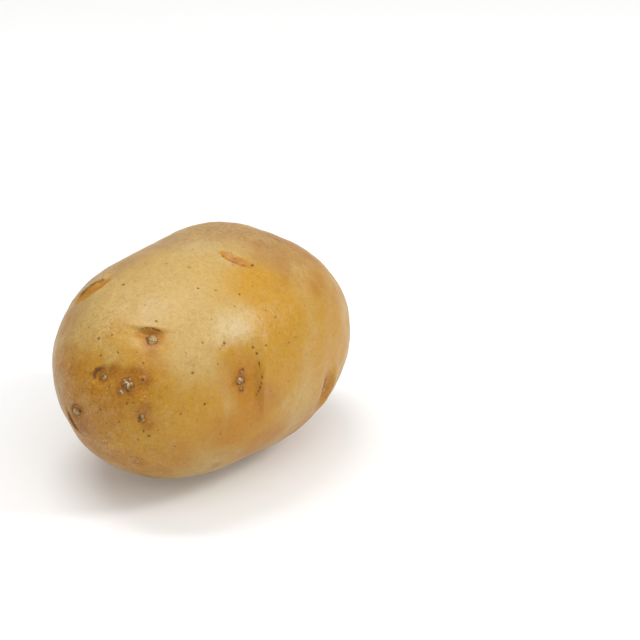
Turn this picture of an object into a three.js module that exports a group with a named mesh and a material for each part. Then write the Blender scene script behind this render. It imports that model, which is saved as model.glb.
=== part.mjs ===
// A whole potato lying on its side: one tuber, as it grew.
//
// Millimetres, +Z up. The origin is under the middle of the tuber, on the surface that it lies on.
// The rose end, where the eyes crowd, points to -X, and the heel end, with the stem scar, to +X.
//
// A place on the skin is two angles, in degrees:
//   toward  from the middle girth to an end, -90 at the rose end and +90 at the heel end
//   around  round the long axis from the top, +90 on the -Y side
import * as THREE from "three";
import { mergeVertices } from "three/addons/utils/BufferGeometryUtils.js";

// The tuber's body: an egg with slightly squared shoulders, broader at the heel end.
const LENGTH = 95.0;
const WIDTH = 68.0;
const HEIGHT = 62.0;
const SQUARENESS = 2.2;   // 2 is a plain ellipsoid, more is boxier
const TAPER = 0.05;       // share by which the heel half is broader

// Where the egg's middle stands. Its height presses the underside flat on the surface, and its
// other two values bring the finished tuber's middle over the origin.
const EGG_MIDDLE = new THREE.Vector3(-0.2, -0.35, 30.3);

// Broad swellings (+) and dips (-): how far they stand off the egg, and how far they reach.
const SWELLINGS = [
  { name: "heel top dip", toward: 43, around: 10, height: -1.0, reach: 15 },
  { name: "top hump", toward: 25, around: -16, height: 0.7, reach: 12 },
  { name: "shoulder dip", toward: 4, around: -38, height: -1.2, reach: 13 },
  { name: "left hump", toward: -23, around: -50, height: 0.5, reach: 11 },
  { name: "rose low dip", toward: -54, around: -122, height: -1.7, reach: 13 },
  { name: "belly rise", toward: -40, around: 165, height: 0.5, reach: 12 },
  { name: "front low dip", toward: -8, around: 140, height: -0.9, reach: 11 },
  { name: "back belly", toward: 15, around: -95, height: 0.9, reach: 16 },
  { name: "back low dip", toward: -5, around: -145, height: -1.0, reach: 13 },
  { name: "heel back dip", toward: 55, around: -65, height: -0.9, reach: 13 },
  { name: "heel front rise", toward: 45, around: 95, height: 0.7, reach: 14 },
];

// Eyes. Each is a hollow whose crease, the line of buds, runs across the tuber. A wall climbs from
// the crease to the brow on the heel side, and the front slopes up to the rose side.
//   twist  turns the eye, in degrees      half   half its width       depth  of the crease
//   wall   from the crease to the brow    edge   softness of the brow's edge
//   front  reach of the slope in front    lip    height of the brow
//   bow    how far the crease's ends droop to the rose side, or rise to the heel side if less than 0
//   sill   height of the low ridge in front of the hollow
const EYES = [
  { name: "top", toward: 0.4, around: 19.4, twist: -6, half: 4.9, depth: 1.3, wall: 1.9, edge: 0.9,
    front: 0.7, lip: 0.2, bow: -1.7, sill: 0.3 },
  { name: "left slit", toward: -32.3, around: -31.7, twist: -35, half: 5.8, depth: 1.1, wall: 3.5, edge: 0.9,
    front: 0.8, lip: 0.4, bow: -2.0, sill: 0.3 },
  { name: "brow", toward: -44.1, around: 25.6, twist: -33, half: 4.0, depth: 1.4, wall: 2.0, edge: 0.45,
    front: 2.6, lip: 0.3, bow: -0.3, sill: 0 },
  { name: "rose left", toward: -68.3, around: 12.9, twist: -70, half: 2.6, depth: 1.1, wall: 1.9, edge: 0.4,
    front: 2.2, lip: 0.25, bow: 0.7, sill: 0 },
  { name: "rose middle", toward: -63, around: 45, twist: -20, half: 4.5, depth: 0.7, wall: 3.0, edge: 1.2,
    front: 3.5, lip: 0, bow: 0, sill: 0 },
  { name: "rose low", toward: -64, around: 86, twist: -75, half: 3.0, depth: 0.8, wall: 1.8, edge: 0.8,
    front: 3.0, lip: 0.1, bow: 0.4, sill: 0 },
  { name: "rose edge", toward: -83, around: -101, twist: 47, half: 2.8, depth: 0.9, wall: 1.6, edge: 0.5,
    front: 2.5, lip: 0.3, bow: 0.4, sill: 0 },
  { name: "rose fold", toward: -73, around: -127, twist: 0, half: 4.0, depth: 0.5, wall: 0.6, edge: 0.4,
    front: 0.8, lip: 0.15, bow: 0.7, sill: 0 },
  { name: "broad", toward: -25, around: 74.2, twist: 17, half: 7.4, depth: 2.0, wall: 6.1, edge: 0.8,
    front: 6.0, lip: 0.45, bow: -1.0, sill: 0 },
  { name: "rose back", toward: -50, around: -135, twist: 20, half: 3.2, depth: 1.1, wall: 1.8, edge: 0.6,
    front: 3.0, lip: 0.3, bow: 0.6, sill: 0 },
  { name: "back low", toward: -14, around: -112, twist: -8, half: 5.5, depth: 1.5, wall: 2.6, edge: 0.8,
    front: 2.4, lip: 0.4, bow: 0.6, sill: 0.2 },
  { name: "front low", toward: 18, around: 108, twist: 10, half: 6.0, depth: 1.5, wall: 3.0, edge: 0.9,
    front: 2.6, lip: 0.4, bow: 0.8, sill: 0.2 },
  { name: "back middle", toward: 24, around: -72, twist: -10, half: 6.0, depth: 1.4, wall: 3.0, edge: 1.0,
    front: 1.6, lip: 0.3, bow: -1.2, sill: 0.25 },
  { name: "under", toward: 38, around: -150, twist: 12, half: 5.5, depth: 1.2, wall: 2.8, edge: 0.9,
    front: 3.6, lip: 0.3, bow: 0.6, sill: 0 },
  { name: "heel top", toward: 52, around: 40, twist: 8, half: 5.0, depth: 1.0, wall: 2.6, edge: 0.9,
    front: 3.4, lip: 0.3, bow: 0.5, sill: 0 },
  { name: "heel back", toward: 60, around: -100, twist: -14, half: 4.6, depth: 0.9, wall: 2.4, edge: 0.9,
    front: 3.2, lip: 0.3, bow: 0.5, sill: 0 },
];

// Buds and corky scabs in the eyes: where they stand from the eye's middle, and their size.
const BUDS = [
  { eye: "top", side: 0.0, heel: 0.2, height: 0.4, radius: 1.0 },
  { eye: "left slit", side: 3.6, heel: 0.6, height: 0.3, radius: 0.8 },
  { eye: "brow", side: -0.9, heel: -0.2, height: 0.7, radius: 1.4 },
  { eye: "rose left", side: -0.4, heel: -0.3, height: 0.6, radius: 1.0 },
  { eye: "rose middle", side: 0.5, heel: 0.3, height: 0.9, radius: 1.6 },
  { eye: "rose middle", side: 0.9, heel: -2.5, height: 0.6, radius: 0.8 },
  { eye: "rose middle", side: -2.4, heel: 3.4, height: 0.3, radius: 0.8 },
  { eye: "rose low", side: -0.3, heel: 0.6, height: 0.5, radius: 1.0 },
  { eye: "rose edge", side: 1.0, heel: 0.8, height: 0.5, radius: 1.1 },
  { eye: "broad", side: 2.1, heel: 1.2, height: 0.4, radius: 0.8 },
  { eye: "broad", side: -0.3, heel: 0.9, height: 0.8, radius: 1.2 },
  { eye: "broad", side: -2.9, heel: 1.3, height: 0.5, radius: 0.8 },
  { eye: "rose back", side: 0.0, heel: 0.0, height: 0.7, radius: 1.1 },
  { eye: "back low", side: 0.6, heel: 0.0, height: 0.7, radius: 1.2 },
  { eye: "front low", side: -0.4, heel: 0.0, height: 0.7, radius: 1.2 },
  { eye: "back middle", side: 0.3, heel: 0.0, height: 0.5, radius: 1.0 },
  { eye: "under", side: 0.0, heel: 0.0, height: 0.5, radius: 1.0 },
  { eye: "heel top", side: 0.0, heel: 0.0, height: 0.4, radius: 1.0 },
];

// The stem scar: a round pit with a raised rim, where the tuber hung on its stolon.
const STEM_SCAR = {
  toward: 83, around: 35, radius: 3.0, depth: 1.4, rim: 0.5, rimRadius: 4.6, rimWidth: 1.4,
};

// The faces: an even ball of triangles, drawn in towards each eye so that its relief is caught.
const BALL_DETAIL = 22;
const DRAW_SHARE = 0.4;    // how much closer the faces lie at an eye
const DRAW_REACH = 0.15;   // how far the drawing reaches, as a share of the ball's radius
const FACING = 0.2;        // an eye's relief stays on its own side of the tuber

const SKIN_COLOUR = 0xc99a56;
const SKIN_ROUGHNESS = 0.5;

const radians = THREE.MathUtils.degToRad;

// The direction of a place on the skin, as a point of the unit ball.
function place({ toward, around }) {
  const ring = Math.cos(radians(toward));
  return new THREE.Vector3(
    Math.sin(radians(toward)),
    -ring * Math.sin(radians(around)),
    ring * Math.cos(radians(around)),
  );
}

// The egg: the unit ball squared off, stretched to size, and tapered along its length.
function egg(direction) {
  const { x, y, z } = direction;
  const sum = Math.abs(x) ** SQUARENESS + Math.abs(y) ** SQUARENESS + Math.abs(z) ** SQUARENESS;
  const reach = sum ** (-1 / SQUARENESS);
  const breadth = 1 + TAPER * x * reach;
  return new THREE.Vector3(
    x * reach * LENGTH / 2,
    y * reach * breadth * WIDTH / 2,
    z * reach * breadth * HEIGHT / 2,
  );
}

function eggNormal({ x, y, z }) {
  return new THREE.Vector3(x / LENGTH, y / WIDTH, z / HEIGHT).normalize();
}

// A spot on the egg with its outward direction and two directions along the skin: heel points to
// the heel end and side across the tuber, and a positive twist turns side towards heel.
function spot({ toward, around, twist = 0 }) {
  const direction = place({ toward, around });
  const normal = eggNormal(direction);
  const heel = new THREE.Vector3(1, 0, 0).addScaledVector(normal, -normal.x).normalize();
  const side = normal.clone().cross(heel);
  heel.applyAxisAngle(normal, radians(-twist));
  side.applyAxisAngle(normal, radians(-twist));
  return { direction, middle: egg(direction), normal, heel, side };
}

const bell = (distance, reach) => Math.exp(-((distance / reach) ** 2));

function swellingHeight(point) {
  let height = 0;
  for (const swelling of swellings) {
    height += swelling.height * bell(point.distanceTo(swelling.middle), swelling.reach);
  }
  return height;
}

// Hollow: bell across the eye, times a bell in front of the crease, times a wall that ends in a
// soft step at the brow. The lip is a low ridge just behind that step, and the sill one in front.
function eyeHeight(point, eye) {
  const offset = point.clone().sub(eye.middle);
  const u = offset.dot(eye.side);
  const behind = offset.dot(eye.heel) + eye.bow * (u / eye.half) ** 2;
  const front = bell(Math.min(behind, 0), eye.front);
  const wall = 0.5 * (1 - Math.tanh((behind - eye.wall) / eye.edge));
  const lip = eye.lip * bell(behind - eye.wall - 1.6 * eye.edge, 1.4 * eye.edge);
  const sill = eye.sill * bell(behind + 1.5 * eye.front, eye.front);
  return bell(u, eye.half) * (lip + sill - eye.depth * front * wall);
}

function budHeight(point, bud) {
  const middle = bud.eye.middle.clone()
    .addScaledVector(bud.eye.side, bud.side)
    .addScaledVector(bud.eye.heel, bud.heel);
  return bud.height * bell(point.distanceTo(middle), bud.radius);
}

function scarHeight(point) {
  const distance = point.distanceTo(stemScar.middle);
  const rim = STEM_SCAR.rim * bell(distance - STEM_SCAR.rimRadius, STEM_SCAR.rimWidth);
  return rim - STEM_SCAR.depth * bell(distance, STEM_SCAR.radius);
}

// A point of the tuber: the egg, raised or sunk along its normal, and cut level at the surface.
function skin(direction) {
  const point = egg(direction);
  const normal = eggNormal(direction);
  let height = swellingHeight(point) + scarHeight(point);
  for (const eye of eyes) {
    if (normal.dot(eye.normal) > FACING) height += eyeHeight(point, eye);
  }
  for (const bud of buds) height += budHeight(point, bud);
  point.addScaledVector(normal, height).add(EGG_MIDDLE);
  point.z = Math.max(point.z, 0);
  return point;
}

// Draws a direction towards each eye in turn, which keeps the order of the faces.
function drawn(direction) {
  const moved = direction.clone();
  for (const eye of eyes) {
    const toEye = eye.direction.clone().sub(moved);
    moved.addScaledVector(toEye, DRAW_SHARE * bell(toEye.length(), DRAW_REACH)).normalize();
  }
  return moved;
}

function tuberGeometry() {
  const ball = new THREE.IcosahedronGeometry(1, BALL_DETAIL);
  ball.deleteAttribute("normal");
  ball.deleteAttribute("uv");
  const geometry = mergeVertices(ball, 1e-5);
  const positions = geometry.getAttribute("position");
  const direction = new THREE.Vector3();
  for (let i = 0; i < positions.count; i += 1) {
    direction.fromBufferAttribute(positions, i).normalize();
    const point = skin(drawn(direction));
    positions.setXYZ(i, point.x, point.y, point.z);
  }
  geometry.computeVertexNormals();
  return geometry;
}

const swellings = SWELLINGS.map((swelling) => ({ ...swelling, middle: egg(place(swelling)) }));
const eyes = EYES.map((eye) => ({ ...eye, ...spot(eye) }));
const buds = BUDS.map((bud) => ({ ...bud, eye: eyes.find((eye) => eye.name === bud.eye) }));
const stemScar = spot(STEM_SCAR);

const potato = new THREE.Mesh(
  tuberGeometry(),
  new THREE.MeshStandardMaterial({ color: SKIN_COLOUR, roughness: SKIN_ROUGHNESS, metalness: 0 }),
);
potato.name = "potato";

const part = new THREE.Group();
part.add(potato);

export default part;
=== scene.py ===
"""A whole potato lying on its side: its skin in fine relief and colour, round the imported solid.

The form is worked out in millimetres, with the same formulas as the solid, and put into the mesh
in metres. A place on the skin is two angles, in degrees: toward, from the middle girth to an end,
-90 at the rose end and +90 at the heel end, and around, round the long axis from the top, +90 on
the -Y side.
"""
import math

import bpy
import numpy as np
from bpy.props import FloatProperty, FloatVectorProperty, IntProperty, PointerProperty
from mathutils import Matrix, Vector


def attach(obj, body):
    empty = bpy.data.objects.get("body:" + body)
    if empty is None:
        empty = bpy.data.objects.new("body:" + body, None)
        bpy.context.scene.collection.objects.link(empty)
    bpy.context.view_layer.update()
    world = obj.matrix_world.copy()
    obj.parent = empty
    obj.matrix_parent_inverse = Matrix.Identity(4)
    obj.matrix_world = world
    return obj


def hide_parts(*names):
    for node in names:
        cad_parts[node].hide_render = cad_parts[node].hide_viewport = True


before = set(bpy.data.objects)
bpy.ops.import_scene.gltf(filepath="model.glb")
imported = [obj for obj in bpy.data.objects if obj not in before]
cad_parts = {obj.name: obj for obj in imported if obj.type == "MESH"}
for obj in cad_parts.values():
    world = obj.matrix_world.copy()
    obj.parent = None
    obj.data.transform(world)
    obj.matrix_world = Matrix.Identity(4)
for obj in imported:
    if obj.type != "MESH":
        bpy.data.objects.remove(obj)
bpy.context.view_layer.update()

bl_info = {
    "name": "Potato",
    "version": (1, 0, 0),
    "blender": (4, 5, 0),
    "location": "3D View > Sidebar > Potato",
    "description": "Grows a whole yellow-skinned potato with its eyes and specks, on a pale stage",
    "category": "Object",
}

MM = 0.001

# The body: an egg with slightly squared shoulders, broader at the heel end. EGG_MIDDLE is where
# its middle stands over the surface that the tuber lies on.
LENGTH = 95.0
WIDTH = 68.0
HEIGHT = 62.0
SQUARENESS = 2.2
TAPER = 0.05
EGG_MIDDLE = np.array([-0.2, -0.35, 30.3])

# Broad swellings and dips: toward, around, height and reach.
SWELLINGS = {
    "heel top dip": (43, 10, -1.0, 15),
    "top hump": (25, -16, 0.7, 12),
    "shoulder dip": (4, -38, -1.2, 13),
    "left hump": (-23, -50, 0.5, 11),
    "rose low dip": (-54, -122, -1.7, 13),
    "belly rise": (-40, 165, 0.5, 12),
    "front low dip": (-8, 140, -0.9, 11),
    "back belly": (15, -95, 0.9, 16),
    "back low dip": (-5, -145, -1.0, 13),
    "heel back dip": (55, -65, -0.9, 13),
    "heel front rise": (45, 95, 0.7, 14),
}

# Eyes: toward, around, twist, half width, depth, wall, edge, front, lip, bow, sill. The crease, the
# line of buds, runs across the tuber. The wall climbs from it to the brow, on the heel side.
EYES = {
    "top": (0.4, 19.4, -6, 4.9, 1.3, 1.9, 0.9, 0.7, 0.2, -1.7, 0.3),
    "left slit": (-32.3, -31.7, -35, 5.8, 1.1, 3.5, 0.9, 0.8, 0.4, -2.0, 0.3),
    "brow": (-44.1, 25.6, -33, 4.0, 1.4, 2.0, 0.45, 2.6, 0.3, -0.3, 0.0),
    "rose left": (-68.3, 12.9, -70, 2.6, 1.1, 1.9, 0.4, 2.2, 0.25, 0.7, 0.0),
    "rose middle": (-63, 45, -20, 4.5, 0.7, 3.0, 1.2, 3.5, 0.0, 0.0, 0.0),
    "rose low": (-64, 86, -75, 3.0, 0.8, 1.8, 0.8, 3.0, 0.1, 0.4, 0.0),
    "rose edge": (-83, -101, 47, 2.8, 0.9, 1.6, 0.5, 2.5, 0.3, 0.4, 0.0),
    "rose fold": (-73, -127, 0, 4.0, 0.5, 0.6, 0.4, 0.8, 0.15, 0.7, 0.0),
    "broad": (-25, 74.2, 17, 7.4, 2.0, 6.1, 0.8, 6.0, 0.45, -1.0, 0.0),
    "rose back": (-50, -135, 20, 3.2, 1.1, 1.8, 0.6, 3.0, 0.3, 0.6, 0.0),
    "back low": (-14, -112, -8, 5.5, 1.5, 2.6, 0.8, 2.4, 0.4, 0.6, 0.2),
    "front low": (18, 108, 10, 6.0, 1.5, 3.0, 0.9, 2.6, 0.4, 0.8, 0.2),
    "back middle": (24, -72, -10, 6.0, 1.4, 3.0, 1.0, 1.6, 0.3, -1.2, 0.25),
    "under": (38, -150, 12, 5.5, 1.2, 2.8, 0.9, 3.6, 0.3, 0.6, 0.0),
    "heel top": (52, 40, 8, 5.0, 1.0, 2.6, 0.9, 3.4, 0.3, 0.5, 0.0),
    "heel back": (60, -100, -14, 4.6, 0.9, 2.4, 0.9, 3.2, 0.3, 0.5, 0.0),
}

# Buds and corky scabs: the eye that they stand in, side and heel from its middle, height, radius.
BUDS = [
    ("top", 2.6, 0.5, 0.25, 0.5),
    ("top", 1.0, 0.1, 0.35, 0.6),
    ("top", -1.0, 0.3, 0.35, 0.6),
    ("top", -3.2, 0.6, 0.50, 0.6),
    ("left slit", 3.6, 0.6, 0.30, 0.6),
    ("brow", -0.9, -0.2, 0.70, 1.4),
    ("rose left", -0.4, -0.3, 0.60, 1.0),
    ("rose middle", 0.5, 0.3, 0.90, 1.6),
    ("rose middle", 0.9, -2.5, 0.60, 0.8),
    ("rose middle", -2.4, 3.4, 0.30, 0.8),
    ("rose low", -0.1, 1.2, 0.40, 0.6),
    ("rose low", -0.4, 0.2, 0.50, 0.7),
    ("rose edge", 1.0, 0.8, 0.50, 1.1),
    ("broad", 2.1, 1.2, 0.40, 0.6),
    ("broad", -0.3, 0.9, 0.80, 1.2),
    ("broad", -2.9, 1.3, 0.50, 0.7),
    ("rose back", 0.0, 0.0, 0.70, 1.1),
    ("back low", 0.6, 0.0, 0.70, 1.2),
    ("back low", -2.2, 0.1, 0.40, 0.8),
    ("front low", -0.4, 0.0, 0.70, 1.2),
    ("front low", 2.4, 0.0, 0.40, 0.8),
    ("back middle", 0.3, 0.0, 0.50, 1.0),
    ("back middle", -2.4, 0.3, 0.40, 0.8),
    ("under", 0.0, 0.0, 0.50, 1.0),
    ("heel top", 0.0, 0.0, 0.40, 1.0),
]

SMOOTH_RISE = 0.3   # a bud no higher than this has no cork, in mm
CREAMY = ("top", "rose middle", "broad")   # the eyes whose crumbs of cork are cream
CREAM_REACH = 5.0   # how far the cream reaches about their middles, in mm

# The stem scar at the heel end: toward, around, pit radius and depth, rim height, radius, width.
STEM_SCAR = (83, 35, 3.0, 1.4, 0.5, 4.6, 1.4)

# What all the eyes share, in their relief and in the lens of colour between crease and brow,
# which is partly painted shade under the brow.
FACING = 0.2        # an eye's relief stays on its own side of the tuber
FAR = 5.0           # stands for any distance that doesn't matter, in mm
THINNEST = 0.001    # least half width of a brow's line, in mm
RIDGE_BACK = 1.6    # how far behind the soft step an eye's ridge lies, as a share of its edge
RIDGE_REACH = 1.4   # the ridge's reach, as a share of the edge
SILL_AHEAD = 1.5    # how far ahead of the crease an eye's sill lies, as a share of its front
BROW_REACH = 1.12   # half the width of the brow, as a share of the eye's half width
LINE_REACH = 0.66   # where the brow's line starts to fade, as a share of the eye's half width
WALL_AHEAD = 0.3    # how far ahead of the crease the wall's colour starts, in mm
WALL_ENDS = 0.5     # how fast the wall's colour grows from the ends of its lens

# The brow of each eye: how far behind the crease it lies, half the width of the dark line along
# it, which is painted shadow in the brow's groove (0 for none), and how strongly the wall below it
# is tinted, partly with painted shade.
BROWS = {
    "top": (3.0, 0.10, 1.0),
    "left slit": (4.8, 0.50, 0.9),
    "brow": (2.6, 0.24, 0.8),
    "rose left": (2.3, 0.50, 0.6),
    "rose middle": (4.4, 0.0, 0.3),
    "rose low": (2.6, 0.15, 0.5),
    "rose edge": (2.1, 0.30, 0.6),
    "rose fold": (0.7, 0.40, 0.6),
    "broad": (6.9, 0.24, 0.0),
    "rose back": (2.4, 0.35, 0.7),
    "back low": (3.6, 0.30, 0.6),
    "front low": (4.0, 0.20, 0.6),
    "back middle": (4.2, 0.15, 0.6),
    "under": (3.8, 0.15, 0.4),
    "heel top": (3.6, 0.15, 0.4),
    "heel back": (3.4, 0.15, 0.4),
}


def bell(distance, reach):
    """e to the minus (distance over reach) squared."""
    return np.exp(-((distance / reach) ** 2))


def gap(points, middle):
    """Straight distance of each point from one middle."""
    return np.linalg.norm(points - middle, axis=-1)


def place(toward, around):
    """The direction of a place on the skin: (sin t, -cos t sin a, cos t cos a)."""
    t, a = np.radians(toward), np.radians(around)
    return np.stack([np.sin(t), -np.cos(t) * np.sin(a), np.cos(t) * np.cos(a)], -1)


def egg(directions):
    """The unit ball squared off (its points lie where the sum of the coordinates' SQUARENESS
    powers is 1), stretched to size, its girth growing by TAPER from the middle to the heel end."""
    total = (np.abs(directions) ** SQUARENESS).sum(-1, keepdims=True)
    squared = directions * total ** (-1 / SQUARENESS)
    breadth = 1 + TAPER * squared[..., :1]
    half = np.array([LENGTH, WIDTH, HEIGHT]) / 2
    return squared * half * np.concatenate([np.ones_like(breadth), breadth, breadth], -1)


def egg_normal(directions):
    """The outward direction of the plain ellipsoid below each direction."""
    n = directions / np.array([LENGTH, WIDTH, HEIGHT])
    return n / np.linalg.norm(n, axis=-1, keepdims=True)


def spot(toward, around, twist=0.0):
    """Middle, normal, side and heel of a place: heel points along the skin to the heel end and
    side across the tuber, and a positive twist turns side towards heel."""
    direction = place(toward, around)
    normal = egg_normal(direction)
    heel = np.array([1.0, 0.0, 0.0]) - normal * normal[0]
    heel /= np.linalg.norm(heel)
    side = np.cross(normal, heel)
    c, s = math.cos(math.radians(twist)), math.sin(math.radians(twist))
    return egg(direction), normal, side * c + heel * s, heel * c - side * s


class Eye:
    """One eye: where points lie in it, and the shares that its hollow, lip and sill have there."""

    def __init__(self, name):
        toward, around, twist, *sizes = EYES[name]
        self.half, self.depth, self.wall, self.edge = sizes[:4]
        self.front, self.lip, self.bow, self.sill = sizes[4:]
        self.top, self.line, self.tint = BROWS[name]
        self.direction = place(toward, around)
        self.middle, self.normal, self.side, self.heel = spot(toward, around, twist)

    def across(self, points):
        """Distance from the eye's middle along its width."""
        return (points - self.middle) @ self.side

    def behind(self, points):
        """Distance behind the crease, whose ends droop by bow times (across / half) squared."""
        u = self.across(points)
        return (points - self.middle) @ self.heel + self.bow * (u / self.half) ** 2

    def facing(self, normals):
        """1 on the eye's own side of the tuber, 0 on the far side."""
        return (normals @ self.normal > FACING).astype(float)

    def hollow(self, points, normals):
        """Bell across, times a slow bell in front of the crease, times a soft step at the brow."""
        b = self.behind(points)
        step = 0.5 * (1 - np.tanh((b - self.wall) / self.edge))
        across = bell(self.across(points), self.half)
        return self.facing(normals) * across * bell(np.minimum(b, 0), self.front) * step

    def rim(self, points, normals):
        """A low ridge just behind the soft step and one, the sill, ahead of the crease."""
        b = self.behind(points)
        ridge = self.lip * bell(b - self.wall - RIDGE_BACK * self.edge, RIDGE_REACH * self.edge)
        sill = self.sill * bell(b + SILL_AHEAD * self.front, self.front)
        return self.facing(normals) * bell(self.across(points), self.half) * (ridge + sill)

    def brow(self, points):
        """Distance of the brow behind the crease: its top times the root of 1 - (across / reach)
        squared, where reach is BROW_REACH of half the width."""
        u = self.across(points) / (BROW_REACH * self.half)
        return self.top * np.sqrt(np.maximum(1 - u ** 2, 0))

    def wall_inside(self, points, normals):
        """How far inside the lens between crease and brow a point lies, times the wall's tint,
        which is partly painted shade under the brow; outside it the distance is negative and has no
        tint."""
        b = self.behind(points)
        ends = (BROW_REACH * self.half - np.abs(self.across(points))) * WALL_ENDS
        inside = np.minimum(np.minimum(b + WALL_AHEAD, self.brow(points) - b), ends)
        tinted = np.where(inside > 0, inside * self.tint, inside)
        return np.where(self.facing(normals) > 0, tinted, -FAR)

    def line_away(self, points, normals):
        """Distance from the dark line along the brow, painted shadow in its groove, growing past
        LINE_REACH of the eye's half width, as a share of the line's own half width."""
        spare = np.maximum(np.abs(self.across(points)) - LINE_REACH * self.half, 0)
        away = np.hypot(self.behind(points) - self.brow(points), spare)
        return np.where(self.facing(normals) > 0, away / max(self.line, THINNEST), FAR)

    def at(self, side, heel):
        """The point of the egg's tangent plane at side and heel from the eye's middle."""
        return self.middle + self.side * side + self.heel * heel


EYE = {name: Eye(name) for name in EYES}
BALL_SQUARES = 126      # squares along each edge of the six grids that make the ball
DRAW_SHARE = 0.55       # how much closer the points lie at an eye
DRAW_REACH = 0.13       # how far that drawing reaches, as a share of the ball's radius


def drawn(directions):
    """Each direction moved towards each eye in turn, by DRAW_SHARE times a bell of its distance."""
    for eye in EYE.values():
        to_eye = eye.direction - directions
        pull = DRAW_SHARE * bell(np.linalg.norm(to_eye, axis=-1, keepdims=True), DRAW_REACH)
        directions = directions + to_eye * pull
        directions /= np.linalg.norm(directions, axis=-1, keepdims=True)
    return directions


def waviness(points, seed, count, longest, shortest):
    """Soft unevenness about 0: the sum of seeded sine waves that cross the points in all
    directions, with wavelengths from longest to shortest, over the root of their number."""
    rng = np.random.default_rng(seed)
    heading = rng.normal(size=(count, 3))
    heading /= np.linalg.norm(heading, axis=1, keepdims=True)
    lengths = np.geomspace(longest, shortest, count)
    phase = rng.uniform(0, 2 * np.pi, count)
    total = np.zeros(len(points))
    for direction, length, start in zip(heading, lengths, phase):
        total += np.sin(2 * np.pi * (points @ direction) / length + start)
    return total / math.sqrt(count)


def scar_height(points):
    """A bell-shaped pit with a round ridge about it."""
    toward, around, radius, depth, rim, rim_radius, rim_width = STEM_SCAR
    distance = gap(points, spot(toward, around)[0])
    return rim * bell(distance - rim_radius, rim_width) - depth * bell(distance, radius)


def relief(points, normals):
    """Height over the egg: swellings, eyes, buds and stem scar, as on the solid."""
    height = scar_height(points)
    for toward, around, rise, reach in SWELLINGS.values():
        height += rise * bell(gap(points, egg(place(toward, around))), reach)
    for eye in EYE.values():
        height += eye.rim(points, normals) - eye.depth * eye.hollow(points, normals)
    for name, side, heel, rise, radius in BUDS:
        height += rise * bell(gap(points, EYE[name].at(side, heel)), radius)
    return height


GROOVE = 0.5                 # depth of the groove under a brow's line, as a share of its half width
CRUMBS = 5                   # crumbs of cork for each millimetre of a bud's radius
CRUMB_SCATTER = 0.5          # their scatter about the bud's middle, as a share of its radius
CRUMB_RISE = (0.12, 0.35)    # least and greatest height of a crumb, in mm
CRUMB_REACH = (0.25, 0.45)   # least and greatest reach of a crumb, in mm
WAVE_COUNT = 40
WAVE_LENGTHS = (16.0, 4.0)   # longest and shortest wave of the fine unevenness, in mm


def fine_relief(points, normals, seed):
    """The relief that is too fine for the solid: grooves along the brows and crumbs on the buds,
    each a small bell at a seeded place of its bud."""
    height = np.zeros(len(points))
    for eye in EYE.values():
        height -= GROOVE * eye.line * bell(eye.line_away(points, normals), 1.0)
    rng = np.random.default_rng(seed)
    for name, side, heel, _, radius in BUDS:
        for _ in range(round(CRUMBS * radius)):
            aside, along = rng.normal(0, CRUMB_SCATTER * radius, 2)
            rise, reach = rng.uniform(*CRUMB_RISE), rng.uniform(*CRUMB_REACH)
            height += rise * bell(gap(points, EYE[name].at(side + aside, heel + along)), reach)
    return height


# Dark dots in the eyes: the eye, side and heel from its middle, radius.
DOTS = [
    ("top", 3.6, 1.0, 0.40),
    ("top", 0.1, 0.8, 0.45),
    ("top", -4.0, 0.6, 0.38),
    ("top", -4.7, 3.2, 0.45),
    ("left slit", 5.0, 1.2, 0.55),
    ("left slit", 2.4, 0.5, 0.30),
    ("left slit", 0.7, 0.1, 0.38),
    ("brow", 0.7, 0.2, 0.40),
    ("brow", 0.4, -0.7, 0.28),
    ("rose left", -0.3, -0.2, 0.42),
    ("rose left", 0.9, 0.0, 0.34),
    ("rose middle", 1.1, -0.5, 0.45),
    ("rose middle", -0.5, 0.2, 0.36),
    ("rose middle", -0.3, -1.3, 0.50),
    ("rose middle", 1.0, 1.3, 0.34),
    ("rose middle", -2.4, 3.4, 0.50),
    ("rose low", 0.4, 0.5, 0.66),
    ("rose low", 0.5, -0.7, 0.34),
    ("rose edge", 0.0, 0.0, 0.50),
    ("broad", 2.8, 1.5, 0.45),
    ("broad", -0.9, 2.0, 0.42),
    ("broad", -1.5, 0.0, 0.42),
    ("broad", -3.4, 1.5, 0.42),
    ("broad", 8.6, 4.6, 0.40),
    ("broad", 6.8, 5.6, 0.40),
    ("rose back", 0.4, 0.6, 0.40),
    ("back low", 1.6, 0.4, 0.42),
    ("front low", 0.8, 0.5, 0.45),
    ("back middle", -0.9, 0.4, 0.40),
]


# The photograph's view. Places in its picture are pixels of a 640 x 640 frame, from the top left.
PICTURE = 640
SENSOR = 36.0
VIEW_AZIMUTH = -55.0
VIEW_ELEVATION = 25.0
VIEW_DISTANCE = 650.0        # from the camera to the tuber's middle
MM_PER_PIXEL = 0.2755        # at the tuber's middle
VIEW_MIDDLE = np.array([0.0, 0.0, 31.0])
MIDDLE_AT_PIXEL = np.array([199.0, 347.0])


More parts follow.
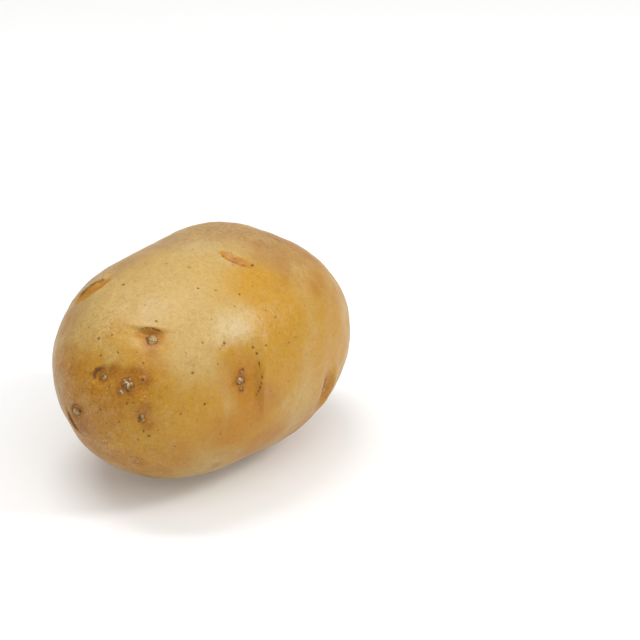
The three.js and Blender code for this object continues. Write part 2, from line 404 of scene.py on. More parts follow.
class PhotoView:
    """The camera of the photograph: where it stands, how it is turned, and its focal length."""

    def __init__(self):
        a, e = math.radians(VIEW_AZIMUTH), math.radians(VIEW_ELEVATION)
        self.back = np.array([math.sin(a) * math.cos(e), -math.cos(a) * math.cos(e), math.sin(e)])
        self.right = np.array([math.cos(a), math.sin(a), 0.0])
        self.up = np.cross(self.back, self.right)
        self.focal = VIEW_DISTANCE / MM_PER_PIXEL
        aside, below = (MIDDLE_AT_PIXEL - PICTURE / 2) * MM_PER_PIXEL
        self.eye = VIEW_MIDDLE + self.back * VIEW_DISTANCE - self.right * aside + self.up * below

    def pixels(self, points):
        """Perspective picture of points in mm: focal length times sideways over depth."""
        seen = points - self.eye
        depth = -(seen @ self.back)
        across = PICTURE / 2 + self.focal * (seen @ self.right) / depth
        down = PICTURE / 2 - self.focal * (seen @ self.up) / depth
        return np.stack([across, down], -1)

    def facing(self, points, normals):
        """How squarely each point faces the camera, from -1 to 1."""
        line = self.eye - points
        return (normals * line).sum(-1) / np.linalg.norm(line, axis=-1)


# Specks (lenticels) read off the photograph: pixel across, pixel down, radius in mm, darkness.
SPECKS_SEEN = [
    (198, 289, 0.36, 0.9), (239, 294, 0.36, 0.8), (252, 286, 0.30, 0.5), (276, 317, 0.34, 0.8),
    (224, 343, 0.50, 0.9), (202, 343, 0.40, 0.5), (219, 349, 0.34, 0.4), (192, 373, 0.42, 0.7),
    (204, 404, 0.42, 0.9), (180, 414, 0.36, 0.7), (220, 434, 0.36, 0.5), (174, 446, 0.36, 0.6),
    (149, 436, 0.42, 0.9), (143, 431, 0.36, 0.7), (159, 430, 0.30, 0.6), (120, 422, 0.30, 0.7),
    (100, 410, 0.36, 0.8), (106, 423, 0.30, 0.4), (97, 440, 0.30, 0.6), (120, 451, 0.34, 0.6),
    (127, 403, 0.36, 0.7), (134, 402, 0.36, 0.6), (118, 352, 0.30, 0.9), (100, 356, 0.32, 0.9),
    (73, 359, 0.32, 0.6), (112, 336, 0.36, 0.8), (98, 339, 0.50, 0.7), (88, 328, 0.34, 0.6),
    (156, 321, 0.40, 0.8), (145, 305, 0.30, 0.4), (123, 285, 0.50, 0.7), (143, 363, 0.34, 0.8),
    (266, 345, 0.36, 0.8), (296, 337, 0.34, 0.5), (211, 319, 0.34, 0.5), (189, 268, 0.50, 0.4),
    (166, 263, 0.45, 0.4), (145, 263, 0.30, 0.5), (193, 249, 0.32, 0.5), (167, 251, 0.28, 0.5),
    (98, 331, 0.30, 0.3), (305, 305, 0.34, 0.4), (207, 372, 0.30, 0.3), (107, 448, 0.36, 0.7),
    (104, 443, 0.30, 0.5), (131, 456, 0.30, 0.7), (137, 458, 0.34, 0.6), (143, 459, 0.30, 0.6),
    (138, 463, 0.30, 0.6), (138, 440, 0.42, 0.5), (96, 412, 0.34, 0.4), (84, 436, 0.30, 0.4),
]
SPECK_SLANT = 0.05             # least facing to the camera of a point that can hold one of them
SPECK_DRAWS = 420              # random tries for the specks between those
SPECK_RADII = (0.14, 0.34)     # least and greatest radius of a random speck, in mm
SPECK_DARKNESS = (0.2, 0.8)    # least and greatest darkness of a random speck
SPECK_SPACING = 2.6            # no random speck is closer to another, in mm
SPECK_NEAR = 1.8               # a point more speck radii off belongs to no speck

# Patches of colour: toward, around, reach, strength. A patch is a bell about its middle. "scuffed"
# holds where the skin is rough and more mottled. The pale patches are partly painted sheen where
# the highlights fall; the broad amber, blush and rust patches on the underside, low at the rose end
# and on the -Y side are partly the skin's own browner colour and partly painted shade.
PATCHES = {
    "net": [
        (26, 12, 14, 0.9), (42, -20, 20, 0.9), (16, 2, 10, 0.6), (20, -70, 16, 0.6),
        (60, 90, 20, 0.7), (85, 0, 22, 0.9), (20, 160, 20, 0.5), (-70, -150, 16, 0.5),
    ],
    "gold": [
        (0, 42, 13, 1.0), (-2, 60, 13, 1.0), (-8, 76, 12, 1.0), (-20, 104, 12, 1.0),
        (-44, 90, 12, 0.9), (-50, 8, 8, 0.6), (-60, 66, 12, 0.9), (-64, 110, 12, 1.0),
        (-50, 140, 12, 0.8), (22, 84, 18, 0.9), (45, 50, 16, 0.6), (-70, 0, 10, 0.8),
        (0, -100, 16, 0.5), (-30, -150, 18, 0.8), (20, 150, 20, 0.8), (-45, 32, 6, 0.7),
        (-55, 32, 7, 0.8), (-22, 62, 7, 1.0),
    ],
    # The broad ones on the underside, low at the rose end and about the broad eye are partly
    # painted shade.
    "amber": [
        (-84, -160, 12, 0.9), (-66, -170, 10, 0.7), (-52, 42, 7, 0.6), (-63, 50, 7, 0.8),
        (-76, 40, 9, 1.0), (-72, -35, 9, 1.0), (-60, -50, 9, 0.8), (-62, 152, 9, 0.7),
        (-46, 120, 8, 0.7), (-24, 76, 7, 1.0), (-21, 92, 9, 1.0), (-30, 104, 9, 0.9),
        (-12, 120, 10, 0.9), (16, 136, 18, 0.8), (-45, -150, 18, 0.7), (20, -150, 24, 0.7),
        (75, 150, 20, 0.7), (-74, -100, 9, 0.8), (-41, -54, 8, 0.6), (-21, -51, 6, 0.5),
        (24, -16, 8, 0.4), (26, 52, 12, 0.6), (25, 30, 10, 0.5), (-26, 67, 7, 0.5),
    ],
    # The ones low at the rose end and along the underside are partly painted shade; the rest are
    # tan skin.
    "blush": [
        (18, -4, 14, 1.0), (20, 24, 12, 0.9), (2, -20, 12, 0.9), (-16, -14, 7, 0.4),
        (-14, -28, 9, 0.9), (30, 16, 14, 0.9), (14, 14, 8, 0.6), (-22, -50, 10, 0.9),
        (-40, -45, 9, 0.8), (-50, 140, 10, 0.3), (40, -80, 24, 0.8), (60, 120, 24, 0.7),
        (-30, -110, 20, 0.7), (0, 180, 24, 0.6), (-58, -70, 8, 0.6), (-70, -80, 6, 0.5),
        (-66, -165, 6, 0.5), (-74, 170, 5, 0.5), (-52, 160, 5, 0.5), (-55, -50, 6, 0.5),
    ],
    # Partly pale skin, partly painted sheen where the highlights fall.
    "pale": [
        (-38, -26, 6, 0.3), (-20, 48, 7, 0.8), (-13, 44, 5, 0.5), (-30, -10, 7, 0.3),
        (10, 150, 8, 0.3), (20, -60, 9, 0.3), (3, -4, 11, 0.7), (-1, 17, 7, 0.4),
    ],
    # The small ones by the rose eyes are rusty skin; the broad ones on the underside, low at the
    # rose end and on the -Y side of the heel half are partly painted shade.
    "rust": [
        (-66, 14, 3.0, 0.7), (-63, 24, 3.0, 0.9), (-58, 42, 3.2, 1.0), (-56.5, 47, 2.4, 1.0),
        (-61, 92, 2.6, 0.7), (-61, 74, 3.0, 0.8), (-47, 33, 2.6, 0.6), (-78, -145, 5.0, 0.8),
        (-68, -170, 5.0, 0.6), (-21, 78, 3.4, 0.5), (-17, 92, 8.0, 0.35), (-57, 143, 3.0, 0.6),
        (-28, 131, 2.5, 0.6), (-63, -44, 5.0, 0.4), (-55, -175, 9.0, 0.5),
        (-46, 148, 8.0, 0.45), (-66, -128, 7.0, 0.5), (-46, 158, 6.0, 0.5),
        (-60, 165, 5.0, 0.5), (15, 26, 9.0, 0.5), (22, 44, 8.0, 0.4), (40, 34, 14.0, 0.5),
        (13, 40, 8.0, 0.5), (-24, -17, 2.4, 0.3), (18, 108, 4.0, 0.5), (-14, -112, 4.0, 0.5),
    ],
    "scuffed": [
        (-60, -60, 13, 1.0), (-76, -110, 13, 1.0), (-70, 170, 12, 1.0), (-50, -15, 10, 0.5),
        (-52, 150, 11, 0.8), (-78, 10, 10, 0.8), (18, -10, 14, 0.9), (-62, 60, 10, 0.4),
        (40, 20, 16, 0.7), (-30, -70, 14, 0.6), (80, 60, 20, 0.7), (10, 170, 26, 0.6),
        (-20, -150, 22, 0.6), (40, -100, 22, 0.6),
    ],
}


TILE_EDGE = 0.012   # empty rim of each tile, as a share of its side


def ball_lattice(squares):
    """Six square grids that close into a cube, as whole-number points without doubles, the
    squares as four corners each, and each square's place in a 3 x 2 sheet of six tiles."""
    steps = np.arange(squares + 1)
    a, b = np.meshgrid(steps, steps, indexing="ij")
    low, high = np.zeros_like(a), np.full_like(a, squares)
    sides = [(a, b, high), (a, squares - b, low), (a, low, b), (a, high, squares - b),
             (high, a, b), (low, squares - a, b)]
    corners = np.array([(0, 0), (1, 0), (1, 1), (0, 1)])
    inner = np.indices((squares, squares)).reshape(2, -1).T
    at = inner[:, None, :] + corners
    flat = at[..., 0] * (squares + 1) + at[..., 1]
    points, quads, sheets = [], [], []
    for k, side in enumerate(sides):
        points.append(np.stack(side, -1).reshape(-1, 3))
        quads.append(flat + k * (squares + 1) ** 2)
        tile = TILE_EDGE + (1 - 2 * TILE_EDGE) * at[..., ::-1] / squares
        sheets.append((tile + np.array([k % 3, k // 3])) / np.array([3, 2]))
    points, index = np.unique(np.concatenate(points), axis=0, return_inverse=True)
    return points, index.reshape(-1)[np.concatenate(quads)], np.concatenate(sheets)


def ball(squares):
    """The cube's grids as tangents of even angles, pushed out to the unit ball."""
    lattice, quads, sheet = ball_lattice(squares)
    cube = np.tan((lattice / squares * 2 - 1) * np.pi / 4)
    return cube / np.linalg.norm(cube, axis=1, keepdims=True), quads, sheet


def patch(name, points):
    """The largest of a patch list's bells at each point."""
    bells = [s * bell(gap(points, egg(place(t, a))), reach) for t, a, reach, s in PATCHES[name]]
    return np.max(bells, axis=0)


def seen_specks(points, normals):
    """The specks of the photograph, each on the facing point whose picture lies nearest."""
    view = PhotoView()
    front = np.flatnonzero(view.facing(points, normals) > SPECK_SLANT)
    pixels = view.pixels(points[front])
    for across, down, radius, dark in SPECKS_SEEN:
        nearest = front[np.argmin(gap(pixels, np.array([across, down])))]
        yield points[nearest], radius, dark


def eye_dots(points, base):
    """The dark dots of the eyes, each on the point that grew nearest to its place."""
    for name, side, heel, radius in DOTS:
        yield points[np.argmin(gap(base, EYE[name].at(side, heel)))], radius, 1.0


def all_specks(points, base, normals, seed):
    """The seen specks and the dots of the eyes, then seeded random specks that keep their
    distance from those before."""
    specks = list(seen_specks(points, normals)) + list(eye_dots(points, base))
    rng = np.random.default_rng(seed)
    for number in rng.integers(0, len(points), SPECK_DRAWS):
        radius, dark = rng.uniform(*SPECK_RADII), rng.uniform(*SPECK_DARKNESS)
        if min(gap(points[number], middle) for middle, *_ in specks) > SPECK_SPACING:
            specks.append((points[number], radius, dark))
    return specks


def speck_fields(points, specks):
    """For each point the offset from its nearest speck in speck radii, and how dark it is there."""
    best = np.full(len(points), np.inf)
    offset = np.zeros((len(points), 3))
    dark = np.zeros(len(points))
    for middle, radius, darkness in specks:
        distance = gap(points, middle)
        closer = distance < best
        best[closer] = distance[closer]
        offset[closer] = (points[closer] - middle) / radius
        dark[closer] = darkness
    return offset, dark * (np.linalg.norm(offset, axis=1) < SPECK_NEAR)


def grow(seed, waves):
    """The skin's points in mm, its faces, its sheet places and the fields that its colours need.

    Each point is the egg's, moved along the egg's normal by the relief and a fine waviness, and
    then lifted to at least the surface that the tuber lies on."""
    directions, quads, sheet = ball(BALL_SQUARES)
    directions = drawn(directions)
    base, normals = egg(directions), egg_normal(directions)
    height = relief(base, normals) + fine_relief(base, normals, seed)
    height += waves * waviness(base, seed, WAVE_COUNT, *WAVE_LENGTHS)
    points = base + normals * height[:, None] + EGG_MIDDLE
    points[:, 2] = np.maximum(points[:, 2], 0)
    fields = {name: patch(name, base) for name in PATCHES}
    eyes = EYE.values()
    # The eyes' fields: the hollow and wall tints are partly painted shade, and line holds the
    # painted shadow along each brow.
    fields["hollow"] = np.clip(sum(eye.hollow(base, normals) for eye in eyes), 0, 1)
    fields["wall"] = np.max([eye.wall_inside(base, normals) for eye in eyes], axis=0)
    fields["line"] = np.minimum(FAR, np.min([eye.line_away(base, normals) for eye in eyes], axis=0))
    corky = [bud for bud in BUDS if bud[3] > SMOOTH_RISE]
    fields["bud"] = np.min([gap(base, EYE[name].at(side, heel)) / radius
                            for name, side, heel, _, radius in corky], axis=0)
    cream = [bell(gap(base, EYE[name].middle), CREAM_REACH) for name in CREAMY]
    fields["cream"] = np.max(cream, axis=0)
    offset, fields["speck_dark"] = speck_fields(points, all_specks(points, base, normals, seed))
    return points, quads, sheet, fields, offset


def skin_mesh(name, points, quads, sheet, fields, offset):
    """A closed mesh of the quads, in metres, with one attribute for each field."""
    mesh = bpy.data.meshes.new(name)
    mesh.vertices.add(len(points))
    mesh.vertices.foreach_set("co", (points * MM).astype(np.float32).ravel())
    mesh.loops.add(quads.size)
    mesh.loops.foreach_set("vertex_index", quads.astype(np.int32).ravel())
    mesh.polygons.add(len(quads))
    mesh.polygons.foreach_set("loop_start", np.arange(0, quads.size, 4, dtype=np.int32))
    mesh.update(calc_edges=True)
    mesh.polygons.foreach_set("use_smooth", np.ones(len(quads), dtype=bool))
    layer = mesh.uv_layers.new(name="OFBake")
    layer.data.foreach_set("uv", sheet.astype(np.float32).ravel())
    for field, values in fields.items():
        attribute = mesh.attributes.new(field, "FLOAT", "POINT")
        attribute.data.foreach_set("value", values.astype(np.float32))
    attribute = mesh.attributes.new("speck_offset", "FLOAT_VECTOR", "POINT")
    attribute.data.foreach_set("vector", offset.astype(np.float32).ravel())
    mesh.validate()
    return mesh


class Wire:
    """One value in a material. +, - and * on it add Math nodes; node() adds any other node."""

    def __init__(self, tree, socket=None):
        self.tree = tree
        self.socket = socket

    def node(self, kind, settings=None, inputs=None, output=0):
        """A node of a kind, its settings set first, then the values or wires of its sockets."""
        made = self.tree.nodes.new(kind)
        for name, value in (settings or {}).items():
            setattr(made, name, value)
        for name, value in (inputs or {}).items():
            if isinstance(value, Wire):
                self.tree.links.new(value.socket, made.inputs[name])
            else:
                made.inputs[name].default_value = value
        return Wire(self.tree, made.outputs[output])

    def math(self, operation, *values):
        return self.node("ShaderNodeMath", {"operation": operation}, dict(enumerate(values)))

    def __add__(self, other):
        return self.math("ADD", self, other)

    def __radd__(self, other):
        return self.math("ADD", other, self)

    def __sub__(self, other):
        return self.math("SUBTRACT", self, other)

    def __rsub__(self, other):
        return self.math("SUBTRACT", other, self)

    def __mul__(self, other):
        return self.math("MULTIPLY", self, other)

    def __rmul__(self, other):
        return self.math("MULTIPLY", other, self)

    def ease(self, start, end):
        """0 below start, 1 above end, and a smooth step between; start may be the larger."""
        inputs = {0: self, 1: start, 2: end, 3: 0.0, 4: 1.0}
        return self.node("ShaderNodeMapRange", {"interpolation_type": "SMOOTHSTEP"}, inputs)

    def over(self, under, colour):
        """colour laid over the colour under, where this wire is 1."""
        inputs = {0: self, 6: under, 7: colour}
        return self.node("ShaderNodeMix", {"data_type": "RGBA"}, inputs, output=2)


MIDDLE = 0.5     # the middle value of every noise

# The noises of the skin, from coarse to fine: size in mm, detail and roughness.
NOISES = {
    "mottle": (5.0, 3.0, 0.6),
    "blots": (2.4, 3.0, 0.6),
    "bumps": (2.4, 3.0, 0.55),
    "flecks": (1.1, 3.0, 0.65),
    "grain": (0.42, 2.0, 0.6),
}

# Where each layer of colour starts and where it is full, on its field or noise.
EDGES = {
    "gold": (0.1, 0.8), "patch": (0.12, 0.95), "blots": (0.48, 0.72),
    "hollow": (0.1, 1.0), "wall": (-0.2, 0.5), "wall flecks": (0.56, 0.75),
    "net": (0.2, 0.8), "net blots": (0.3, 0.6), "dust": (0.54, 0.7),
    "stain": (2.8, 1.0), "ring": (1.4, 1.0), "ring flecks": (0.38, 0.55),
    "cork": (1.0, 0.8), "crumbs": (0.42, 0.58), "gaps": (0.48, 0.70),
    "line": (1.6, 0.2), "core": (1.1, 0.4), "halo": (1.7, 0.8),
}

# How strongly each layer covers the colour below it.
COVERS = {
    "patch": 0.9, "hollow": 0.45, "wall": 0.92, "dust": 0.5, "stain": 0.65, "ring": 0.85,
    "rusty line": 0.8, "shadow line": 0.7, "halo": 0.35,
}

NET_SQUEEZE = (5.0, 1.0, 1.0)   # squeezes the net along the tuber, so its threads run round it
NET_SIZE = 7.0                  # size of its meshes round the tuber, in mm
NET_WIDTH = 0.05                # width of its threads, on the noise that they follow
THREAD_DETAIL = 3.0
THREAD_ROUGHNESS = 0.6
DOTS_CHANCE = 0.55              # share of the cells that hold a dot
PALE_DOTS = (1.2, 0.27)         # size of a cell in mm, and radius of a dot as a share of it
RUST_DOTS = (1.5, 0.20)
CELL_SIZE = 0.72                # size of the crumbs of cork in the colour, in mm


def noise(where, size, detail, roughness):
    """Fractal noise about 0.5, whose features are about size mm across."""
    inputs = {"Vector": where, "Scale": 1 / (size * MM), "Detail": detail, "Roughness": roughness}
    return where.node("ShaderNodeTexNoise", None, inputs)


def swing(pattern, strength):
    """A noise moved to swing about 0, times strength."""
    return (pattern - MIDDLE) * strength


def field(tree, name, output="Fac"):
    """An attribute of the skin's points."""
    return tree.node("ShaderNodeAttribute", {"attribute_name": name}, None, output)


def stretched(where, scale):
    """The coordinates scaled along each axis, so that a pattern on them is squeezed as much."""
    return where.node("ShaderNodeMapping", None, {"Vector": where, "Scale": scale})


def threads(where, size, width):
    """Thin wandering lines: 1 where fractal noise crosses its middle value, 0 away from there."""
    level = noise(where, size, THREAD_DETAIL, THREAD_ROUGHNESS) - MIDDLE
    return where.math("ABSOLUTE", level).ease(width, width * 0.25)


def dots(where, size, radius):
    """Small dots: one in each cell, size mm across, whose random value is under DOTS_CHANCE."""
    inputs = {"Vector": where, "Scale": 1 / (size * MM)}
    distance = where.node("ShaderNodeTexVoronoi", None, inputs)
    value = where.node("ShaderNodeTexVoronoi", None, inputs, "Color")
    return distance.ease(radius, radius * 0.4) * value.ease(DOTS_CHANCE, DOTS_CHANCE * 0.85)


class Paint:
    """The skin's colour, as layers that are each laid over the ones before, and its height and
    roughness, which read the same noises and fields."""

    def __init__(self, tree, look):
        self.tree = tree
        self.look = look
        self.where = tree.node("ShaderNodeTexCoord", None, None, "Object")
        noises = [noise(self.where, *sizes) for sizes in NOISES.values()]
        self.mottle, self.blots, self.bumps, self.flecks, self.grain = noises
        self.scuffed = field(tree, "scuffed")
        self.net = field(tree, "net")
        self.colour = None

    def tone(self, name):
        """A colour setting as the four numbers that a socket takes."""
        return (*getattr(self.look, name), 1.0)

    def lay(self, cover, colour):
        """colour laid over the colour so far, where cover is 1."""
        self.colour = cover.over(self.colour, colour)

    def lay_patches(self):
        """Straw and gold, the other patches over them, all with cloudy edges, and blush blots. The
        pale patches are partly painted sheen, and the broad amber, blush and rust ones partly
        painted shade.
        """
        cloud = swing(self.mottle, 0.6) + swing(self.blots, 0.5) + swing(self.flecks, 0.3)
        gold = (field(self.tree, "gold") + cloud).ease(*EDGES["gold"])
        self.colour = gold.over(self.tone("straw"), self.tone("gold"))
        for name in ("pale", "blush", "amber", "rust"):
            cover = (field(self.tree, name) + cloud).ease(*EDGES["patch"])
            self.lay(cover * COVERS["patch"], self.tone(name))
        self.lay(self.blots.ease(*EDGES["blots"]) * (0.3 + 0.35 * self.scuffed), self.tone("blush"))

    def lay_eyes(self):
        """A tint in the hollows, and the orange wall below each brow with rusty flecks: partly the
        eyes' own orange-brown, partly painted shade in the hollows and under the brows.
        """
        hollow = (field(self.tree, "hollow") + swing(self.flecks, 0.5)).ease(*EDGES["hollow"])
        self.lay(hollow * COVERS["hollow"], self.tone("hollow"))
        wall = (field(self.tree, "wall") + swing(self.flecks, 1.2)).ease(*EDGES["wall"])
        rusty = self.flecks.ease(*EDGES["wall flecks"])
        self.lay(wall * COVERS["wall"], rusty.over(self.tone("hollow"), self.tone("rust")))

    def lay_net(self):
        """The russet net near the heel end, and rusty dust and small dots on the whole skin."""
        girth = stretched(self.where, NET_SQUEEZE)
        share = (self.net * self.blots.ease(*EDGES["net blots"])).ease(*EDGES["net"])
        self.lines = threads(girth, NET_SIZE, NET_WIDTH) * share
        self.lay(self.lines * self.look.net, self.tone("russet"))
        amount = 0.15 + 0.3 * self.net + 0.3 * field(self.tree, "amber") + 0.5 * self.scuffed
        dust = self.flecks.ease(*EDGES["dust"]) * amount
        self.lay(dust * COVERS["dust"], self.tone("rust"))
        self.lay(dots(self.where, *PALE_DOTS) * (0.15 + 0.65 * self.scuffed), self.tone("pale"))
        self.lay(dots(self.where, *RUST_DOTS) * (0.2 + 0.6 * self.scuffed), self.tone("rust"))

    def lay_buds(self):
        """Round each bud a rusty stain and a dark broken ring, and on it crumbs of cork with
        russet gaps."""
        bud = field(self.tree, "bud")
        self.stain = (bud + swing(self.flecks, 1.6)).ease(*EDGES["stain"])
        self.lay(self.stain * COVERS["stain"], self.tone("rust"))
        ring = (bud + swing(self.grain, 0.8)).ease(*EDGES["ring"])
        ring = ring * self.flecks.ease(*EDGES["ring flecks"])
        self.lay(ring * COVERS["ring"], self.tone("speck"))
        inputs = {"Vector": self.where, "Scale": 1 / (CELL_SIZE * MM)}
        cells = self.where.node("ShaderNodeTexVoronoi", None, inputs)
        ragged = cells + swing(self.grain, 0.6) + swing(self.flecks, 0.5)
        self.gaps = ragged.ease(*EDGES["gaps"])
        self.cork = (bud + swing(self.grain, 0.7)).ease(*EDGES["cork"])
        cream = 0.35 + 0.65 * field(self.tree, "cream")
        pale = self.flecks.ease(*EDGES["crumbs"]) * cream
        crumb = pale.over(self.tone("blush"), self.tone("cork"))
        self.lay(self.cork, (self.gaps * cream).over(crumb, self.tone("russet")))

    def lay_lines(self):
        """The line along each brow, painted shadow in its groove: rusty at its sides and dark in
        the middle.
        """
        self.line = (field(self.tree, "line") + swing(self.flecks, 2.0)).ease(*EDGES["line"])
        self.lay(self.line * COVERS["rusty line"], self.tone("rust"))
        self.lay(self.line * self.line * COVERS["shadow line"], self.tone("speck"))

    def lay_specks(self):
        """The specks: a ragged dark core in a faint rusty halo."""
        away = self.tree.node("ShaderNodeVectorMath", {"operation": "LENGTH"},
                              {0: field(self.tree, "speck_offset", "Vector")}, "Value")
        ragged = away + swing(self.grain, 1.2)
        dark = field(self.tree, "speck_dark")
        self.core = ragged.ease(*EDGES["core"]) * dark
        self.lay(ragged.ease(*EDGES["halo"]) * dark * COVERS["halo"], self.tone("rust"))
        self.lay(self.core, self.tone("speck"))

    def shade(self):
        """The colour times fine unevenness about 1, less of it in red, so it darkens to brown."""
        uneven = swing(self.grain, 0.5) + swing(self.flecks, 0.75) + swing(self.blots, 0.4)
        shade = uneven * (0.85 + 1.6 * self.scuffed) + 1.0
        channels = {0: shade * 0.65 + 0.35, 1: shade, 2: shade}
        shades = shade.node("ShaderNodeCombineColor", None, channels)
        settings = {"data_type": "RGBA", "blend_type": "MULTIPLY"}
        inputs = {0: 1.0, 6: self.colour, 7: shades}
        self.colour = self.tree.node("ShaderNodeMix", settings, inputs, output=2)

    def height(self):
        """Height of the finest relief in mm: bumps, and dips in threads, specks, gaps and lines."""
        rough_skin = (self.flecks * 0.08 + self.grain * 0.04) * (1.0 + 2.0 * self.scuffed)
        dips = self.lines * 0.05 + self.core * 0.07 + self.gaps * self.cork * 0.2 + self.line * 0.08
        return self.bumps * 0.18 + rough_skin - dips

    def roughness(self):
        """Satin skin, rougher on the net, on cork and on the stain round it."""
        skin = 0.37 + swing(self.mottle, 0.18) + swing(self.flecks, 0.16)
        return skin + self.lines * 0.2 + self.cork * 0.3 + self.stain * 0.1 + self.net * 0.07


def potato_material(look):
    """Straw skin with golden, blush, pale, amber and rusty patches, the pale ones partly painted
    sheen and broad amber, blush and rusty ones partly painted shade; orange walls in the eyes,
    partly painted shade, with a dark line of painted shadow along the brow; corky buds, specks and
    a fine russet net."""
    material = bpy.data.materials.new("potato_skin")
    material.use_nodes = True
    tree = Wire(material.node_tree)
    shader = material.node_tree.nodes["Principled BSDF"]
    paint = Paint(tree, look)
    paint.lay_patches()
    paint.lay_eyes()
    paint.lay_net()
    paint.lay_buds()
    paint.lay_lines()
    paint.lay_specks()
    paint.shade()
    height = paint.height()
    bump = tree.node("ShaderNodeBump", None, {"Strength": 1.0, "Distance": MM, "Height": height})
    material.node_tree.links.new(paint.colour.socket, shader.inputs["Base Color"])
    material.node_tree.links.new(paint.roughness().socket, shader.inputs["Roughness"])
    material.node_tree.links.new(bump.socket, shader.inputs["Normal"])
    shader.inputs["Specular IOR Level"].default_value = look.gloss
    return material


class SkinLook(bpy.types.PropertyGroup):
    """The colours and the fineness of the skin."""

    straw: FloatVectorProperty(
        name="Straw", description="Main skin colour", subtype="COLOR", min=0, max=1,
        default=(0.478, 0.312, 0.095))
    gold: FloatVectorProperty(
        name="Gold", description="Golden patches", subtype="COLOR", min=0, max=1,
        default=(0.46, 0.235, 0.018))
    # Its patches are partly painted sheen; its small dots are pale skin.
    pale: FloatVectorProperty(
        name="Pale", description="Pale patches and small pale dots", subtype="COLOR", min=0, max=1,
        default=(0.51, 0.375, 0.17))
    # Its broad patches low on the tuber are partly painted shade.
    blush: FloatVectorProperty(
        name="Blush", description="Pinkish tan patches and crumbs", subtype="COLOR", min=0, max=1,
        default=(0.385, 0.225, 0.080))
    # Its broad patches low on the tuber and about the broad eye are partly painted shade.
    amber: FloatVectorProperty(
        name="Amber", description="Deep golden brown patches", subtype="COLOR", min=0, max=1,
        default=(0.41, 0.172, 0.007))
    # Its broad patches low on the tuber are partly painted shade; its stains, dust and dots are
    # rusty skin.
    rust: FloatVectorProperty(
        name="Rust", description="Rusty patches, stains and dust", subtype="COLOR", min=0, max=1,
        default=(0.30, 0.10, 0.003))
    # Partly the eyes' own orange-brown, partly painted shade in the hollows and under the brows.
    hollow: FloatVectorProperty(
        name="Hollow", description="Walls of the eyes", subtype="COLOR", min=0, max=1,
        default=(0.43, 0.182, 0.010))
    russet: FloatVectorProperty(
        name="Russet", description="Net and the gaps between crumbs", subtype="COLOR", min=0, max=1,
        default=(0.19, 0.075, 0.018))
    cork: FloatVectorProperty(
        name="Cork", description="Cream crumbs on the buds", subtype="COLOR", min=0, max=1,
        default=(0.60, 0.44, 0.23))
    # Along each brow it is painted shadow.
    speck: FloatVectorProperty(
        name="Speck", description="Specks and dark lines", subtype="COLOR", min=0, max=1,
        default=(0.11, 0.046, 0.006))
    net: FloatProperty(
        name="Net", description="Strength of the russet net", subtype="FACTOR", min=0, max=1,
        default=0.48)
    gloss: FloatProperty(
        name="Gloss", description="Specular level of the skin", subtype="FACTOR", min=0, max=1,
        default=0.33)
    waves: FloatProperty(
        name="Waves", description="Height of the fine unevenness, in mm", min=0, max=1,
        default=0.07)
    seed: IntProperty(
        name="Seed", description="Seed of the random specks and waves", min=0, default=7)


class StageLook(bpy.types.PropertyGroup):
    """The floor, the lights and the camera."""

    floor: FloatVectorProperty(
        name="Floor", description="Floor colour", subtype="COLOR", min=0, max=1,
        default=(0.75, 0.75, 0.75))
    glow: FloatProperty(
        name="Floor glow", description="Light that the pale floor gives of its own", min=0, max=1,
        default=0.15)
    zenith: FloatProperty(
        name="Zenith", description="Strength of the white surroundings overhead", min=0, max=4,
        default=0.72)
    horizon: FloatProperty(
        name="Horizon", description="Strength of the white surroundings at floor height", min=0,
        max=4, default=0.30)
    key: FloatProperty(
        name="Key light", description="Power of the soft light overhead", subtype="POWER",
        unit="POWER", min=0, default=3.7)
    side: FloatProperty(
        name="Side light", description="Power of the soft light from the right", subtype="POWER",
        unit="POWER", min=0, default=3.2)
    front: FloatProperty(
        name="Front light", description="Power of the large light over the camera",
        subtype="POWER", unit="POWER", min=0, default=3.8)


def new_object(name, data):
    made = bpy.data.objects.new(name, data)
    bpy.context.scene.collection.objects.link(made)
    return made


class POTATO_OT_grow_skin(bpy.types.Operator):
    """Grow the potato's skin in fine relief and finish it in its colours"""

    bl_idname = "potato.grow_skin"
    bl_label = "Grow potato skin"

    def execute(self, context):
        look = context.scene.potato_skin
        points, quads, sheet, fields, offset = grow(look.seed, look.waves)
        skin = new_object("skin", skin_mesh("skin", points, quads, sheet, fields, offset))
        skin.data.materials.append(potato_material(look))
        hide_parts("potato")
        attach(skin, "root")
        return {"FINISHED"}


FLOOR_SIZE = 6000.0
FLOOR_ROUGHNESS = 0.9
GLOW_COLOUR = (1.0, 0.98, 0.95, 1.0)
CLIP = (0.01, 20.0)     # nearest and farthest thing that the camera shows, in metres
LAMPS = {   # direction to each lamp, its distance, and its sides, in mm
    "key": ((0.0, 0.31, 1.0), 900.0, (600.0, 180.0)),
    "side": ((0.52, -1.09, 1.0), 900.0, (240.0, 200.0)),
    "front": ((-0.38, -0.44, 0.82), 1000.0, (900.0, 900.0)),
}


def aim(thing, start, target, across):
    """The object at start, its -Z axis to the target and its X axis as near to across as can be."""
    z = (start - target).normalized()
    y = z.cross(across).normalized()
    x = y.cross(z)
    thing.matrix_world = Matrix.Translation(start) @ Matrix((x, y, z)).transposed().to_4x4()


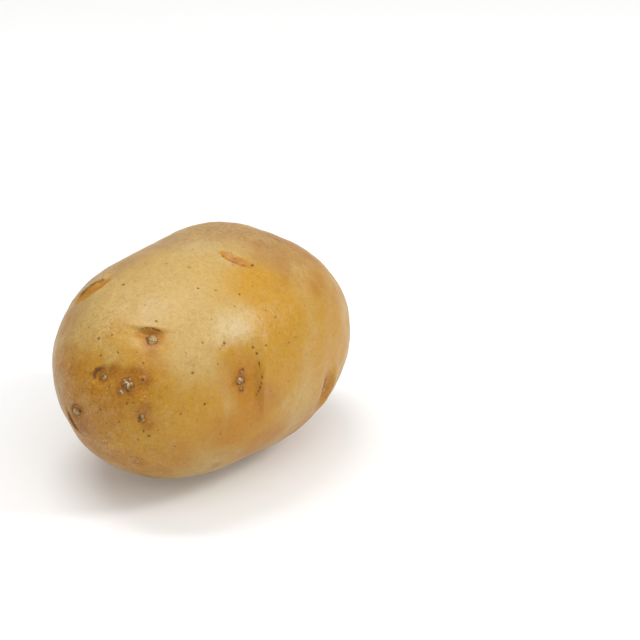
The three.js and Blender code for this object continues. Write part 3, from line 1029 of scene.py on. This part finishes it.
class POTATO_OT_set_stage(bpy.types.Operator):
    """Lay the pale floor, and set the lights and the camera of the photograph"""

    bl_idname = "potato.set_stage"
    bl_label = "Set stage"

    def execute(self, context):
        look = context.scene.potato_stage
        self.floor(look)
        self.lights(look)
        self.camera(context)
        context.scene.view_settings.view_transform = "Standard"
        return {"FINISHED"}

    def floor(self, look):
        half = FLOOR_SIZE * MM / 2
        mesh = bpy.data.meshes.new("floor")
        corners = [(-half, -half, 0), (half, -half, 0), (half, half, 0), (-half, half, 0)]
        mesh.from_pydata(corners, [], [(0, 1, 2, 3)])
        floor = new_object("floor", mesh)
        material = bpy.data.materials.new("floor")
        material.use_nodes = True
        shader = material.node_tree.nodes["Principled BSDF"]
        shader.inputs["Base Color"].default_value = (*look.floor, 1)
        shader.inputs["Roughness"].default_value = FLOOR_ROUGHNESS
        shader.inputs["Emission Color"].default_value = GLOW_COLOUR
        shader.inputs["Emission Strength"].default_value = look.glow
        mesh.materials.append(material)

    def lights(self, look):
        world = bpy.data.worlds.new("surroundings")
        world.use_nodes = True
        tree = Wire(world.node_tree)
        background = world.node_tree.nodes["Background"]
        background.inputs["Color"].default_value = (1, 1, 1, 1)
        direction = tree.node("ShaderNodeTexCoord", None, None, "Generated")
        height = tree.node("ShaderNodeSeparateXYZ", None, {0: direction}, "Z")
        strength = look.horizon + height * height * (look.zenith - look.horizon)
        world.node_tree.links.new(strength.socket, background.inputs["Strength"])
        bpy.context.scene.world = world
        target = Vector(VIEW_MIDDLE) * MM
        for name, (direction, distance, (long_side, short_side)) in LAMPS.items():
            lamp = bpy.data.lights.new(name, "AREA")
            lamp.shape = "RECTANGLE"
            lamp.energy = getattr(look, name)
            lamp.size, lamp.size_y = long_side * MM, short_side * MM
            start = target + Vector(direction).normalized() * distance * MM
            aim(new_object(name, lamp), start, target, Vector(PhotoView().right))

    def camera(self, context):
        view = PhotoView()
        camera = bpy.data.cameras.new("camera")
        camera.sensor_width = SENSOR
        camera.lens = view.focal / PICTURE * SENSOR
        camera.clip_start, camera.clip_end = CLIP
        made = new_object("camera", camera)
        aim(made, Vector(view.eye) * MM, Vector(view.eye - view.back) * MM, Vector(view.right))
        context.scene.camera = made


# The group of settings and the operator in each box of the panel.
PANEL_ROWS = [
    ("potato_skin", "potato.grow_skin"),
    ("potato_stage", "potato.set_stage"),
]


class POTATO_PT_panel(bpy.types.Panel):
    """The settings of the potato and its stage"""

    bl_label = "Potato"
    bl_idname = "POTATO_PT_panel"
    bl_space_type = "VIEW_3D"
    bl_region_type = "UI"
    bl_category = "Potato"

    def draw(self, context):
        for group, operator in PANEL_ROWS:
            box = self.layout.box()
            settings = getattr(context.scene, group)
            for name in settings.__annotations__:
                box.prop(settings, name)
            box.operator(operator)


CLASSES = (SkinLook, StageLook, POTATO_OT_grow_skin, POTATO_OT_set_stage, POTATO_PT_panel)


def register():
    for cls in CLASSES:
        bpy.utils.register_class(cls)
    bpy.types.Scene.potato_skin = PointerProperty(type=SkinLook)
    bpy.types.Scene.potato_stage = PointerProperty(type=StageLook)


def unregister():
    del bpy.types.Scene.potato_stage
    del bpy.types.Scene.potato_skin
    for cls in reversed(CLASSES):
        bpy.utils.unregister_class(cls)


def main():
    register()
    bpy.ops.potato.grow_skin()
    bpy.ops.potato.set_stage()


if __name__ == "__main__":
    main()
